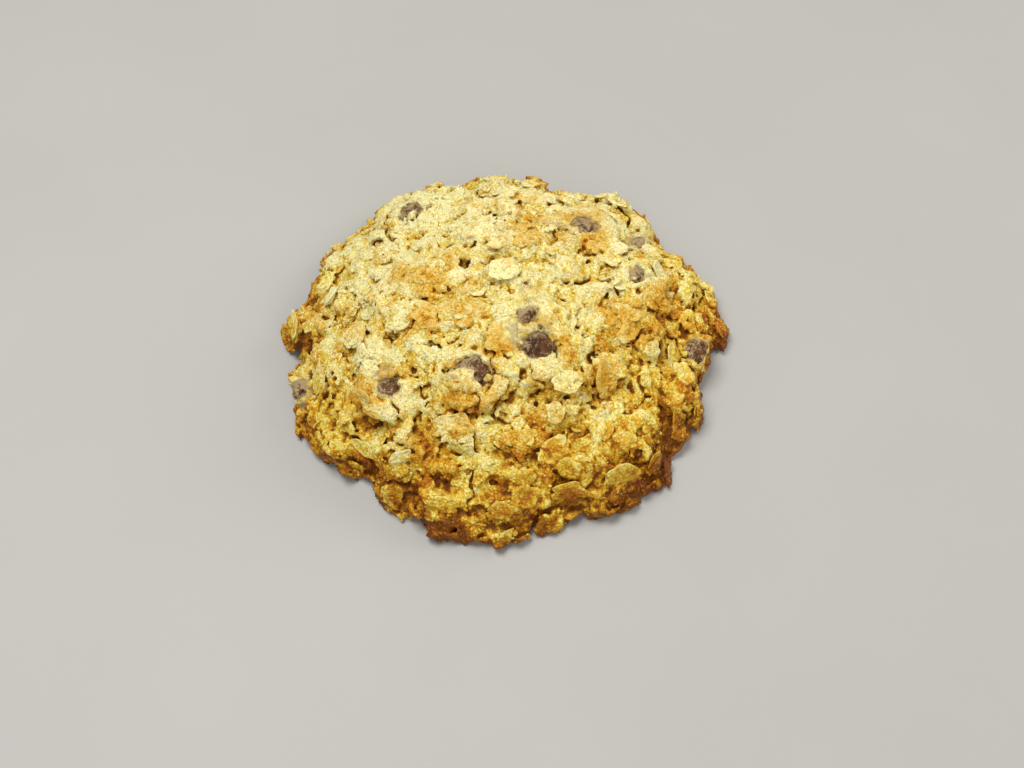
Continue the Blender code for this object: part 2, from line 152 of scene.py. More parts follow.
# Loose crumbs: name, room as above, how often the ball they start from is divided, radius and seed.
LOOSE_CRUMBS = (
    ("dough_crumbs", (2.6, 0.6), 2, (0.3, 0.7), 22),
    ("dough_grains", (0.95, 0.6), 1, (0.2, 0.42), 23),
)
LOOSE_CRUMB_LOWEST = 0.8

# The dough lies over each chip as a thin skin, broken open where chocolate shows, and some have gaps beside
# them. Each opening has a place from above, length, width, depth and heading in degrees.
CHIP_SKIN = 0.35
OPENINGS = (
    (8.2, -17.8, 11.4, 8.8, 4, -10),
    (13.4, -18.4, 1.8, 6, 5, 10),
    (5.8, -9.6, 7, 6.4, 3, 0),
    (8.3, -13.4, 2.6, 2, 3, 20),
    (-12.4, -22.8, 6.4, 4, 3, 20),
    (-8.1, -22.6, 7.4, 5.2, 3.2, -30),
    (-4.8, -25.6, 5.2, 8, 3.6, 5),
    (-28.8, -25.6, 8, 7, 3.4, 20),
    (-25, 30.9, 13, 6, 4, 35),
    (21.7, 23.5, 10, 5.6, 3, -10),
    (35.2, 9, 4.4, 7, 2.4, 10),
    (51.7, -6.2, 6.6, 7, 3, 60),
    (-55.6, -17.3, 8.6, 6, 3, 90),
    (37.2, 26, 4.8, 3.6, 2.4, 0),
)
OPENING_REACH = 3.0  # an opening digs no further from its chip
OPENING_WAVES = ((2.2, 0.22, 45), (1.1, 0.16, 46))
# Dough is mounded up round each chip, with lumps against its sides.
MOUND_WIDTH = 5.0  # out from the chip
MOUND_HEIGHT = 0.78  # of the chip's radius
MOUND_LOWEST = 15.0  # chips lower than this lie in the rim
COLLAR_LUMPS = 11
COLLAR_RADIUS = (0.7, 1.6)
COLLAR_RISE = (0.2, 0.7)  # of the chip's radius, from its middle
COLLAR_WAVES = ((2.0, 0.25, 44), (1.0, 0.15, 39))
# Dough that hides part of a chip: place from above and radii.
COVERS = (
    (-13, -28, 3.4, 2.8, 1.6),
    (-10, -29, 2.8, 2.4, 1.5),
)
# How thickly each chip is dusted with flour and bloom. The side that faces this way is painted lighter too,
# a painted highlight where the light falls.
HIGHLIGHT_SIDE = (-0.6, 0.5, 0.62)
CHIP_DUST = {
    "chip_centre": 0.02,
    "chip_centre_back": 0.40,
    "chip_front_left": 0.12,
    "chip_left_small": 0.10,
    "chip_back_left": 0.25,
    "chip_back_right": 0.45,
    "chip_back_rim": 0.60,
    "chip_right_small": 0.40,
    "chip_right_rim": 0.10,
    "chip_left_rim": 0.30,
}

# Holes between the clumps: place from above, length, width and depth, heading in degrees.
HOLES = (
    (-10.9, 9.1, 3.4, 2.8, 4, 0),
    (21.8, 14.2, 2.6, 1.8, 3, 20),
    (19.9, -5.7, 3.6, 2.4, 3.6, -20),
    (21, -12.6, 3, 1.6, 2.6, 0),
    (5.4, -25.8, 3.4, 2, 3.4, -50),
    (23.5, -17.2, 3.2, 2.4, 3, 30),
    (50.3, 1.9, 2.4, 2, 2.8, 60),
    (42.1, -14.4, 2.6, 1.8, 3.2, 80),
    (-38.1, -19.2, 3.4, 2.2, 3.2, 30),
    (-35.1, -18.7, 2.4, 1.8, 2.6, 70),
    (-45, -18.4, 2.4, 1.6, 2.6, 80),
    (14.6, -29.3, 2.8, 1.6, 2.6, -10),
    (19, -27.4, 2.2, 1.6, 2.2, 0),
    (24.6, -31.1, 2.6, 1.4, 2.6, 60),
    (-0.8, -40.1, 2, 1.4, 2.2, 0),
    (6.4, -42.9, 3.6, 1.6, 2.6, 20),
    (25.1, -37.4, 2, 1.4, 2.2, 90),
    (-14.5, -15.6, 2, 1.8, 2.4, 0),
    (-24.2, -10.3, 4.6, 3.2, 4.2, 60),
    (-29.4, -12.9, 8, 2, 3, 50),
    (34.7, -40.2, 3.6, 2.6, 3.2, 60),
    (-2.6, -47.2, 2, 1.4, 2, 0),
    (-55.6, -9.2, 5, 3, 4, 80),
    (-45.2, -32.9, 2.6, 1.8, 2.4, 40),
    (-10.8, -44.2, 2, 1.4, 2, 0),
)

# Oats that show: place from above, length, width, heading, lean and the heading it leans to, tone and rise.
# The tone runs from 0, nearly white, to 1, well browned.
OATS = (
    (-0.2, 5.2, 8.8, 6.8, 20, 8, -90, 0.12, 0.2),
    (-5.8, 18, 6.5, 4.6, 60, 28, -60, 0, 0.1),
    (-12.9, 4.6, 6.4, 4.2, 15, 10, -90, 0, 0.1),
    (-30.9, 7.5, 7, 5.4, 60, 15, -90, 0.05, 0.2),
    (-0.8, -15.5, 9.4, 8, 60, 14, -70, 0.35, 0.3),
    (30, 18.4, 8, 5.5, 110, 28, 200, 0.1, 0.1),
    (-15.4, -11.7, 5.5, 2.8, 15, 25, -90, 0.1, 0.1),
    (-12.3, -36.9, 10, 7.4, -5, 16, -90, 0, -0.2),
    (5.1, -50.3, 8.2, 6, 0, 6, -90, 0.55, 0.2),
    (5.6, -46.6, 4.6, 4.2, 40, 10, -90, 0.4, 0.2),
    (11.9, -39.7, 9.4, 5.4, 45, 20, -45, 0.15, 0.1),
    (29.9, -44.2, 11, 6, 12, 26, -80, 0.2, 0.3),
    (16, -48.5, 9, 6.4, 5, 26, -90, 0.5, 0.3),
    (38.8, -39.7, 6.4, 5.2, 60, 20, -45, 0.4, 0.2),
    (45.8, -26.7, 10, 5.4, 100, 26, 10, 0.5, 0),
    (-15.3, -51.9, 8.5, 3.4, -10, 28, -90, 0.3, 0.1),
    (-0.9, -54.3, 6, 5, 20, 26, -90, 0.5, 0.2),
    (-28.6, -48.3, 6.2, 4.4, 30, 26, -100, 0.5, 0.2),
    (-26.2, -42.4, 7.2, 3, 25, 26, -90, 0.1, 0.1),
    (-57.7, 1.7, 8, 4.6, 90, 25, 180, 0.15, 0.1),
    (-48.5, -18.5, 8.2, 7.2, 40, 10, 200, 0.6, 0.2),
    (-38.8, -9.2, 7, 5, 20, 15, -90, 0.3, 0.2),
    (-36.3, -28.2, 7.2, 5, -30, 15, -100, 0.3, 0.2),
    (-47.2, 7, 6.4, 4.4, 70, 10, 180, 0, 0.2),
    (38.5, -12, 5.6, 4, 10, 10, -60, 0, 0.2),
    (41.4, 11.3, 7.4, 3.6, -15, 26, -80, 0, 0.2),
    (40.3, 22.4, 5.4, 4.8, 0, 15, -60, 0.1, 0),
    (44.5, -10.4, 8.2, 4.2, 105, 25, -20, 0.15, 0.1),
    (25.2, -23.3, 9.6, 6.4, 110, 28, -10, 0.2, 0.2),
    (15.7, -26.8, 7.6, 6, 10, 8, -90, 0.1, 0.4),
)

# Well toasted patches: place from above, radius and strength.
TOASTED = (
    (-9.1, -8.3, 6, 0.8),
    (-20.1, -7.9, 5, 1),
    (-20, 4.6, 6, 0.8),
    (-2.6, -17.6, 3.4, 1),
    (29.5, -6.9, 6, 0.9),
    (7.2, 16.1, 5, 0.6),
    (23.9, 19.1, 5, 0.7),
    (-40.3, -7.7, 5.5, 0.7),
    (-27.3, 6.4, 6, 0.8),
    (-9.6, -36.8, 3.2, 1),
    (23.3, -23.9, 5, 0.9),
    (9.1, -33.3, 4.5, 0.5),
    (32.9, -9.9, 5, 0.7),
    (-38, -25.2, 5, 0.7),
    (47.3, 0.6, 8, 0.8),
)

# Dough greyed by flour and chocolate: place from above, radii and strength.
GREYED = (
    (6.5, -1.5, 3, 4.4, 1),
    (2.6, -15, 2.6, 3.4, 1.6),
    (13.4, 24, 3.6, 2.6, 1),
    (-31, -21, 3, 3.2, 1.5),
    (11, -12, 2.8, 2.8, 1.1),
    (-13, -25, 2.4, 1.6, 1),
)

# What each point of the dough tells its material.
LOOKS = ("crevice_shade", "fold_shade", "steep", "toast", "low", "foot", "film", "shade", "oat", "edge")
# The material paints shade in crevices and creases from how filled the dough is around a point, over these
# reaches.
CREVICE_SHADE_REACH = 0.8
FOLD_SHADE_REACH = 2.4
# The lower sides and the foot are darker, partly as browning and partly as painted shade.
LOW_HEIGHT = 19.0  # the well baked sides end here
FOOT_HEIGHT = 6.0
TOP_LOWEST = 5.0  # the listed patches lie above this
# Darker to the right, and to the front and back of a line, over this reach.
SIDE_DARKENING_REACH = 60.0
SIDE_DARKENING_RIGHT = 0.2
SIDE_DARKENING_FRONT = 0.4
PALEST_LINE = 35.0

# From the palest dough to the darkest crust. Its darker end also stands for painted shade in hollows, on
# steep slopes and low down.
BAKED_AND_SHADED = (
    (0.00, (0.86, 0.81, 0.46)),
    (0.20, (0.79, 0.695, 0.225)),
    (0.42, (0.69, 0.48, 0.052)),
    (0.66, (0.48, 0.225, 0.009)),
    (1.00, (0.20, 0.066, 0.003)),
)
# Low down the colour is tinted deeper: partly browning, partly painted shade on the lower sides.
LOW_TINT = (1.0, 0.94, 0.62)
TOAST_TINT = (0.90, 0.68, 0.36)
# Colour of the painted shade between the grains.
GRAIN_GAP_SHADE = (0.88, 0.76, 0.40)
# Colour of the painted shade in fine dots where the relief is low.
DOT_SHADE = (0.55, 0.38, 0.10)
DUSTY = (0.40, 0.31, 0.18)
DARK_CHOCOLATE = (0.038, 0.011, 0.002)
LIGHT_CHOCOLATE = (0.13, 0.046, 0.012)
FLOUR_AND_HIGHLIGHT = (0.44, 0.33, 0.18)
DARK_FLOOR = (0.37, 0.370, 0.365)
LIGHT_FLOOR = (0.40, 0.400, 0.395)

FLOOR_SIZE = 6.0  # metres
# Soft square lights that face the cookie: name, place and size in metres, power in watts, and colour.
LIGHTS = (
    ("key", (-0.24, 0.12, 0.88), 0.45, 7.4, (1.0, 0.985, 0.95)),
    ("side", (0.7, 0.25, 0.5), 0.5, 3.0, (1.0, 0.96, 0.88)),
    ("front", (0.1, -0.8, 0.5), 0.9, 3.0, (1.0, 1.0, 1.0)),
)
SKY = (1.0, 0.93, 0.79, 1.0)
SKY_STRENGTH = 0.33


class Field:
    """Distances to a surface on a grid, in millimetres: negative inside."""

    def __init__(self, low, high, voxel):
        self.low = np.array(low, float)
        self.extent = np.array(high, float) - self.low
        self.voxel = voxel
        self.shape = np.ceil(self.extent / voxel).astype(int) + 1
        self.values = None
        self.looks = {}

    def axis(self, index):
        return self.low[index] + self.voxel * np.arange(self.shape[index])

    def solid(self, points, triangles):
        """The distances to a closed mesh."""
        made = openvdb.FloatGrid.createLevelSetFromPolygons(
            ((points - self.low) / self.voxel).astype(np.float32),
            triangles=triangles.astype(np.uint32),
            transform=openvdb.createLinearTransform(1.0),
            halfWidth=BAND / self.voxel,
        )
        values = np.empty(self.shape, np.float32)
        made.copyToArray(values)
        return values * self.voxel

    def blurred(self, values, width):
        """The values averaged over a round neighbourhood of this width."""
        reach = math.ceil(BLUR_REACH * width / self.voxel)
        weights = np.exp(-((np.arange(-reach, reach + 1) * self.voxel / width) ** 2) / 2)
        weights = (weights / weights.sum()).astype(np.float32)
        for axis, count in enumerate(self.shape):
            around = [(reach, reach) if other == axis else (0, 0) for other in range(3)]
            padded = np.moveaxis(np.pad(values, around, mode="edge"), axis, 0)
            total = sum(w * padded[start : start + count] for start, w in enumerate(weights))
            values = np.moveaxis(total, 0, axis)
        return np.ascontiguousarray(values)

    def drawn_out(self, coarse, step):
        """The grid's values between those of a coarse lattice, which starts one step below the grid."""
        for axis in (2, 1, 0):
            at = np.arange(self.shape[axis]) * self.voxel / step + 1
            base = at.astype(int)
            shape = [-1 if other == axis else 1 for other in range(3)]
            total = 0
            for near in range(-1, 3):
                weights = spline(at - base - near).astype(np.float32).reshape(shape)
                total = total + weights * np.take(coarse, base + near, axis=axis, mode="clip")
            coarse = total
        return coarse

    def noise(self, length, seed):
        """A smooth random field of this wavelength, with a mean of about 0 and a spread of 1."""
        step = length / 2
        counts = np.ceil(self.extent / step).astype(int) + 5
        values = np.random.default_rng(seed).standard_normal(counts, dtype=np.float32)
        values = self.drawn_out(values, step)
        return values / values.std()

    def waves(self, table):
        """Random fields added up, each given by its wavelength, height and seed."""
        return sum(height * self.noise(length, seed) for length, height, seed in table)

    def level_with(self, target):
        """Shifts the surface, patch by patch, until it lies level with another on the whole."""
        near = np.exp(-np.square(self.values)).astype(np.float32)
        sums = []
        for values in (near, near * (target - self.values)):
            room = [(LEVEL_STEP, LEVEL_STEP + -count % LEVEL_STEP) for count in self.shape]
            blocks = np.pad(values, room)
            shape = [(count // LEVEL_STEP, LEVEL_STEP) for count in blocks.shape]
            blocks = blocks.reshape(*itertools.chain(*shape)).sum(axis=(1, 3, 5))
            for axis in range(3):
                for _ in range(LEVEL_PASSES):
                    blocks = blocks + (np.roll(blocks, 1, axis) + np.roll(blocks, -1, axis)) / 2
            sums.append(blocks)
        shift = sums[1] / np.maximum(sums[0], sums[0].max() * 1e-4)
        self.values += self.drawn_out(shift, LEVEL_STEP * self.voxel)

    def window(self, centre, reach):
        """The part of the grid within reach of a point, and where its voxels lie from that point."""
        first = np.floor((centre - reach - self.low) / self.voxel).astype(int)
        last = np.ceil((centre + reach - self.low) / self.voxel).astype(int) + 1
        first = np.clip(first, 0, self.shape)
        last = np.clip(last, 0, self.shape)
        axes = [self.axis(i)[first[i] : last[i]] - centre[i] for i in range(3)]
        offsets = np.stack(np.meshgrid(*axes, indexing="ij"), axis=-1)
        return tuple(slice(a, b) for a, b in zip(first, last)), offsets

    def join(self, part, distances, soft, **looks):
        """Adds a shape, with its looks, to part of the field, and rounds the crease over this width."""
        old = self.values[part]
        for name, value in looks.items():
            self.looks[name][part][distances < old] = value
        mix = np.clip(0.5 + 0.5 * (old - distances) / soft, 0, 1)
        self.values[part] = old + (distances - old) * mix - soft * mix * (1 - mix)

    def carve(self, part, distances, soft):
        """Takes a shape away from part of the field."""
        old = self.values[part]
        mix = np.clip(0.5 - 0.5 * (old + distances) / soft, 0, 1)
        self.values[part] = old + (-distances - old) * mix + soft * mix * (1 - mix)

    def sample(self, values, points):
        """The values at points between the voxels."""
        at = np.clip((points - self.low) / self.voxel, 0, self.shape - 1.001)
        base = at.astype(int)
        share = at - base
        total = np.zeros(len(points))
        for corner in itertools.product((0, 1), repeat=3):
            weight = np.prod(np.where(corner, share, 1 - share), axis=1)
            i, j, k = (base + corner).T
            total += weight * values[i, j, k]
        return total

    def normals(self, points, values=None):
        """The way out of the surface at these points, or of another surface on the same grid."""
        values = self.values if values is None else values
        slopes = []
        for axis in range(3):
            step = np.zeros(3)
            step[axis] = self.voxel
            ahead = self.sample(values, points + step)
            slopes.append(ahead - self.sample(values, points - step))
        slopes = np.stack(slopes, axis=1)
        return slopes / np.maximum(np.linalg.norm(slopes, axis=1, keepdims=True), 1e-9)

    def settle(self, points):
        """The points moved onto the surface."""
        for _ in range(SETTLE_STEPS):
            points = points - self.normals(points) * self.sample(self.values, points)[:, None]
        return points

    def mesh(self):
        """The surface as (points, quads), facing out, in millimetres, without loose scraps."""
        made = openvdb.FloatGrid(BAND)
        made.copyFromArray(np.clip(self.values, -BAND, BAND))
        points, _, quads = made.convertToPolygons(isovalue=0.0, adaptivity=0.0)
        points = self.low + self.voxel * points
        quads = quads[:, ::-1].astype(np.int64)
        return largest_body(points, quads)


def spline(offset):
    """The cubic B-spline's weight at this distance."""
    near = np.abs(offset)
    inner = 2 / 3 - near**2 + near**3 / 2
    outer = np.clip(2 - near, 0, None) ** 3 / 6
    return np.where(near < 1, inner, outer)


def largest_body(points, faces):
    """Only the largest of the bodies that the faces make."""
    label = np.arange(len(points))
    ends = np.concatenate([faces[:, :2], faces[:, 1:3], faces[:, 2:4]])
    while True:
        lowest = label[ends].min(axis=1)
        before = label.copy()
        np.minimum.at(label, ends[:, 0], lowest)
        np.minimum.at(label, ends[:, 1], lowest)
        label = label[label]
        if (label == before).all():
            break
    names, counts = np.unique(label, return_counts=True)
    kept = label == names[counts.argmax()]
    number = np.cumsum(kept) - 1
    return points[kept], number[faces[kept[faces[:, 0]]]]


def ellipsoid(offsets, axes, radii, power=2.0):
    """The distances to an ellipsoid, nearly true close to its surface. The axes are rows.

    A power under 2 gives it corners along its axes, and one over 2 makes it boxy.
    """
    local = np.abs(offsets @ np.asarray(axes).T) / radii
    near = (local**power).sum(axis=-1) ** (1 / power)
    steep = np.linalg.norm(local / radii, axis=-1) / np.maximum(np.linalg.norm(local, axis=-1), 1e-6)
    return (near - 1) / np.maximum(steep, 1e-6)


def facing(normal, heading, lean=0.0, lean_heading=0.0):
    """Three rows: two directions along the surface and the way out of it, leant over.

    Headings are as seen from above, from +X towards +Y. Angles are in radians.
    """
    upright = Vector((0, 0, 1)).rotation_difference(Vector(normal)).to_matrix()
    turned = Matrix.Rotation(lean_heading, 3, "Z")
    leant = turned @ Matrix.Rotation(lean, 3, "Y") @ turned.inverted()
    return np.array((upright @ leant @ Matrix.Rotation(heading, 3, "Z")).transposed())


def any_way(normal, lean, draw):
    """The same rows with any heading, leant over any way by up to this angle."""
    return facing(normal, draw.uniform(0, math.tau), draw.uniform(0, lean), draw.uniform(0, math.tau))


def vertices_of(obj):
    """An object's points in metres."""
    points = np.empty(len(obj.data.vertices) * 3, np.float32)
    obj.data.vertices.foreach_get("co", points)
    return points.reshape(-1, 3)


def mesh_arrays(obj):
    """An object's points in millimetres, and its triangles."""
    obj.data.calc_loop_triangles()
    triangles = np.empty(len(obj.data.loop_triangles) * 3, np.int32)
    obj.data.loop_triangles.foreach_get("vertices", triangles)
    return vertices_of(obj) / MM, triangles.reshape(-1, 3)


def scatter(points, triangles, spacing, draw, lowest=-0.2):
    """Points spread over a mesh at random, none closer than spacing, where it doesn't face down."""
    corners = points[triangles]
    cross = np.cross(corners[:, 1] - corners[:, 0], corners[:, 2] - corners[:, 0])
    area = np.linalg.norm(cross, axis=1)
    shown = cross[:, 2] > lowest * area
    corners, area = corners[shown], area[shown]
    tries = int(3 * area.sum() / 2 / spacing**2)
    chosen = draw.choice(len(area), tries, p=area / area.sum())
    a, b = draw.random((2, tries, 1))
    a, b = np.where(a + b > 1, 1 - a, a), np.where(a + b > 1, 1 - b, b)
    spots = corners[chosen, 0] * (1 - a - b) + corners[chosen, 1] * a + corners[chosen, 2] * b
    kept = []
    taken = {}
    for spot in spots:
        cell = tuple((spot // spacing).astype(int))
        around = itertools.product(*((c - 1, c, c + 1) for c in cell))
        rivals = [other for near in around for other in taken.get(near, ())]
        if all(np.square(spot - other).sum() > spacing**2 for other in rivals):
            taken.setdefault(cell, []).append(spot)
            kept.append(spot)
    return np.array(kept)


def on_top(field, calm, x, y):
    """The point of the surface over a place on the base, and the way out of the calm one there."""
    heights = field.axis(2)[::-1]
    column = np.column_stack([np.full(len(heights), x), np.full(len(heights), y), heights])
    filled = field.sample(field.values, column) < 0
    spots = field.settle(column[filled.argmax()][None, :])
    return spots[0], field.normals(spots, calm)[0]


def places(field, surface, chips, draw, spacing, clearance, calm=None):
    """Places spread over the field's surface, clear of the chips, each with the way out of it, or out of
    the calm one.
    """
    spots = field.settle(scatter(*surface, spacing, draw))
    settled = abs(field.sample(field.values, spots)) < SETTLED
    spots = spots[settled & (field.sample(chips, spots) > clearance)]
    return zip(spots, field.normals(spots, calm))


def add_lumps(field, surface, chips, draw, kind):
    """Lumps of dough of one kind, as part of the field."""
    low, high = kind["radius"]
    for spot, normal in places(field, surface, chips, draw, *kind["room"]):
        radius = low + (high - low) * draw.random() ** kind["exponent"]
        radii = radius * draw.uniform(*kind["shares"], 3)
        axes = any_way(normal, kind["lean"], draw)
        centre = spot - normal * radii.min() * draw.uniform(*kind["sunk"])
        part, offsets = field.window(centre, radii.max() + kind["around"])
        distances = ellipsoid(offsets, axes, radii, draw.uniform(*kind["power"]))
        field.join(part, distances, kind["crease"], shade=draw.uniform(*kind["tone"]), oat=0.0)


def add_oat(field, spot, axes, radii, bend, shade):
    """A rolled oat coated in dough, as part of the field."""
    part, offsets = field.window(spot, max(radii) + 1)
    local = offsets @ axes.T
    curl = bend * np.square(local[..., :2]).sum(axis=-1)
    offsets = offsets - curl[..., None] * axes[2]
    field.join(part, ellipsoid(offsets, axes, np.array(radii), 2.6), 0.15, shade=shade, oat=1.0)


def listed_oats(field, calm):
    """For each listed oat, its place, the way out there, its directions, length, width, tone and rise."""
    for x, y, length, width, heading, lean, lean_heading, tone, rise in OATS:
        spot, normal = on_top(field, calm, x, y)
        turns = [math.radians(angle) for angle in (heading, lean, lean_heading)]
        yield spot, normal, facing(normal, *turns), length, width, tone, rise


def add_coated_oats(field, calm, surface, chips, draw):
    for spot, normal in places(field, surface, chips, draw, *COATED_OAT_ROOM, calm):
        radii = [draw.uniform(*span) for span in COATED_OAT_RADII]
        axes = any_way(normal, COATED_OAT_LEAN, draw)
        spot = spot + normal * draw.uniform(*COATED_OAT_RISE)
        add_oat(field, spot, axes, radii, draw.uniform(*COATED_OAT_BEND), draw.uniform(0, 1))


def seat_of(field, calm, points):
    """A chip's middle and mean radius, and the way out of the dough above it."""
    middle = (points.min(axis=0) + points.max(axis=0)) / 2
    return middle, np.linalg.norm(points - middle, axis=1).mean(), on_top(field, calm, *middle[:2])[1]


def add_mounds(field, calm, packed_chips):
    for points, _ in packed_chips:
        middle, radius, out = seat_of(field, calm, points)
        if middle[2] < MOUND_LOWEST:
            continue
        radii = np.array((radius + MOUND_WIDTH, radius + MOUND_WIDTH, MOUND_HEIGHT * radius))
        part, offsets = field.window(middle, radii.max() + 2)
        field.join(part, ellipsoid(offsets, facing(out, 0), radii), 3.0)


def add_collars(field, calm, packed_chips, draw):
    """Lumps of dough against the chips and over parts of them."""
    ragged = field.waves(COLLAR_WAVES)

    def heap(centre, axes, radii):
        part, offsets = field.window(centre, radii.max() + 1)
        distances = ellipsoid(offsets, axes, radii, 2.4) + ragged[part]
        field.join(part, distances, 0.4, shade=draw.uniform(0.2, 0.8), oat=0.0)

    for points, _ in packed_chips:
        middle, radius, out = seat_of(field, calm, points)
        for index in range(COLLAR_LUMPS):
            turn = (index + draw.uniform(-0.3, 0.3)) * math.tau / COLLAR_LUMPS
            level = facing(out, turn)[0]
            radii = draw.uniform(*COLLAR_RADIUS) * draw.uniform(0.7, 1.0, 3)
            rise = draw.uniform(*COLLAR_RISE)
            reach = radius * math.sqrt(1 - rise**2) + 0.7 * radii.min()
            centre = middle + reach * level + radius * rise * out
            heap(centre, facing(out, draw.uniform(0, math.tau), draw.uniform(0, 1)), radii)
    for x, y, length, width, depth in COVERS:
        spot, normal = on_top(field, calm, x, y)
        heap(spot - 0.3 * depth * normal, facing(normal, 0.3), np.array((length, width, depth)))


def open_chips(field, calm, chips):
    """Bares the chips where they show."""
    ragged = field.waves(OPENING_WAVES)
    for x, y, length, width, depth, heading in OPENINGS:
        spot, normal = on_top(field, calm, x, y)
        axes = facing(normal, math.radians(heading))
        part, offsets = field.window(spot, max(length, width, depth) + 1.5)
        distances = ellipsoid(offsets, axes, np.array((length / 2, width / 2, depth))) + ragged[part]
        field.carve(part, np.maximum(distances, chips[part] - OPENING_REACH), 0.15)


def add_cracks(field, chips):
    crack = field.waves(CRACK_WAVES) * CRACK_LENGTH / CRACK_SLOPE
    crack = np.exp(-((crack / CRACK_WIDTH) ** 2))
    broken = np.clip(field.noise(*CRACK_BREAKS) + 0.1, 0, 1)
    # The thin lobes of the foot have none.
    lowest, whole = CRACK_HEIGHTS
    risen = np.clip((field.axis(2) - lowest) / (whole - lowest), 0, 1).astype(np.float32)
    field.values += CRACK_DEPTH * np.clip(chips / 2, 0, 1) * crack * broken * risen


def add_holes(field, calm, surface, chips, draw):
    """Pits in the hollows of the dough, and the listed holes."""
    ragged = field.waves(HOLE_WAVES)
    hollow = field.blurred((field.values < 0).astype(np.float32), PIT_REACH)
    holes = []
    for spot, normal in places(field, surface, chips, draw, *PIT_ROOM):
        if field.sample(hollow, spot[None, :])[0] > PIT_HOLLOW:
            shape = np.array([draw.uniform(*span) for span in PIT_SHAPE])
            radii = draw.uniform(*PIT_RADIUS) * shape
            holes.append((spot, any_way(normal, 0.7, draw), radii))
    for x, y, length, width, depth, heading in HOLES:
        spot, normal = on_top(field, calm, x, y)
        along, across, _ = facing(normal, math.radians(heading))
        for share in HOLE_SHARES:
            middle = spot + share * length * along + draw.uniform(-0.25, 0.25) * width * across
            radii = draw.uniform(*HOLE_RADII) * np.array((length, width, 2 * depth))
            turn = math.radians(heading) + draw.uniform(-0.9, 0.9)
            holes.append((middle, facing(normal, turn), radii))
    for spot, axes, radii in holes:
        part, offsets = field.window(spot, radii.max() + 0.8)
        field.carve(part, ellipsoid(offsets, axes, radii) + ragged[part], 0.15)


def make_dough_field():
    """The dough's field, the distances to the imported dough, smooth and calm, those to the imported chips,
    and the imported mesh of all.
    """
    packed_dough = mesh_arrays(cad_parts["cookie_dough"])
    packed_chips = [mesh_arrays(node) for name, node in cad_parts.items() if name.startswith("chip")]
    surface = joined([packed_dough, *packed_chips])
    low = packed_dough[0].min(axis=0) - DOUGH_MARGIN
    high = packed_dough[0].max(axis=0) + DOUGH_MARGIN
    field = Field(low, high, DOUGH_VOXEL)
    dough = field.solid(*packed_dough)
    chips = np.minimum.reduce([field.solid(*chip) for chip in packed_chips])
    smooth = field.blurred(np.minimum(dough, chips - CHIP_SKIN), FACET_BLUR)
    calm = field.blurred(smooth, CALM_BLUR)
    smooth = np.maximum(smooth, calm - CREST)
    field.looks["shade"] = np.full(field.shape, 0.5, np.float32)
    field.looks["oat"] = np.zeros(field.shape, np.float32)
    draw = np.random.default_rng(RELIEF_SEED)
    # The relief is sunk less where it would lay a chip bare.
    covered = np.clip(chips / 2, 0, 1)
    field.values = smooth + GROUND_SINK * covered
    add_lumps(field, surface, chips, draw, LUMPS)
    for length, height, seed in GROUND_WAVES:
        field.values -= height * covered * field.noise(length, seed)
    field.level_with(smooth + ROUGH_SINK * covered)
    add_mounds(field, calm, packed_chips)
    add_coated_oats(field, calm, surface, chips, draw)
    open_chips(field, calm, chips)
    add_collars(field, calm, packed_chips, draw)
    for spot, normal, axes, length, width, tone, rise in listed_oats(field, calm):
        radii = length / 2, width / 2, LISTED_OAT_RADIUS
        add_oat(field, spot + normal * rise, axes, radii, LISTED_OAT_BEND, tone)
    for length, height, seed in FINE_WAVES:
        field.values -= height * field.noise(length, seed)
    add_lumps(field, surface, chips, draw, CRUMBS)
    add_cracks(field, chips)
    add_holes(field, calm, surface, chips, draw)
    # The underside is flat, with a few dimples.
    dimples = DIMPLE_DEPTH * np.clip(field.noise(3.5, 47) - 0.9, 0, 1)
    field.values = np.maximum(field.values, dimples - field.axis(2).astype(np.float32))
    return field, smooth, calm, chips, surface


def object_from(name, points, faces):
    """A new object with this mesh, given in millimetres."""
    mesh = bpy.data.meshes.new(name)
    mesh.vertices.add(len(points))
    mesh.vertices.foreach_set("co", (points * MM).astype(np.float32).ravel())
    sides = faces.shape[1]
    mesh.loops.add(faces.size)
    mesh.loops.foreach_set("vertex_index", faces.astype(np.int32).ravel())
    mesh.polygons.add(len(faces))
    mesh.polygons.foreach_set("loop_start", np.arange(0, faces.size, sides, dtype=np.int32))
    mesh.update(calc_edges=True)
    mesh.validate()
    mesh.shade_smooth()
    obj = bpy.data.objects.new(name, mesh)
    bpy.context.scene.collection.objects.link(obj)
    return obj


def thin_out(obj, triangles):
    """Collapses the edges that show least, down to this many triangles."""
    obj.data.calc_loop_triangles()
    count = len(obj.data.loop_triangles)
    if count > triangles:
        modifier = obj.modifiers.new("thin out", "DECIMATE")
        modifier.ratio = triangles / count
        modifier.use_collapse_triangulate = True
        bpy.context.view_layer.update()
        thinned = obj.evaluated_get(bpy.context.evaluated_depsgraph_get())
        mesh = bpy.data.meshes.new_from_object(thinned)
        obj.modifiers.clear()
        obj.data = mesh


def add_attribute(obj, name, values):
    attribute = obj.data.attributes.new(name, "FLOAT", "POINT")
    attribute.data.foreach_set("value", np.asarray(values, np.float32))


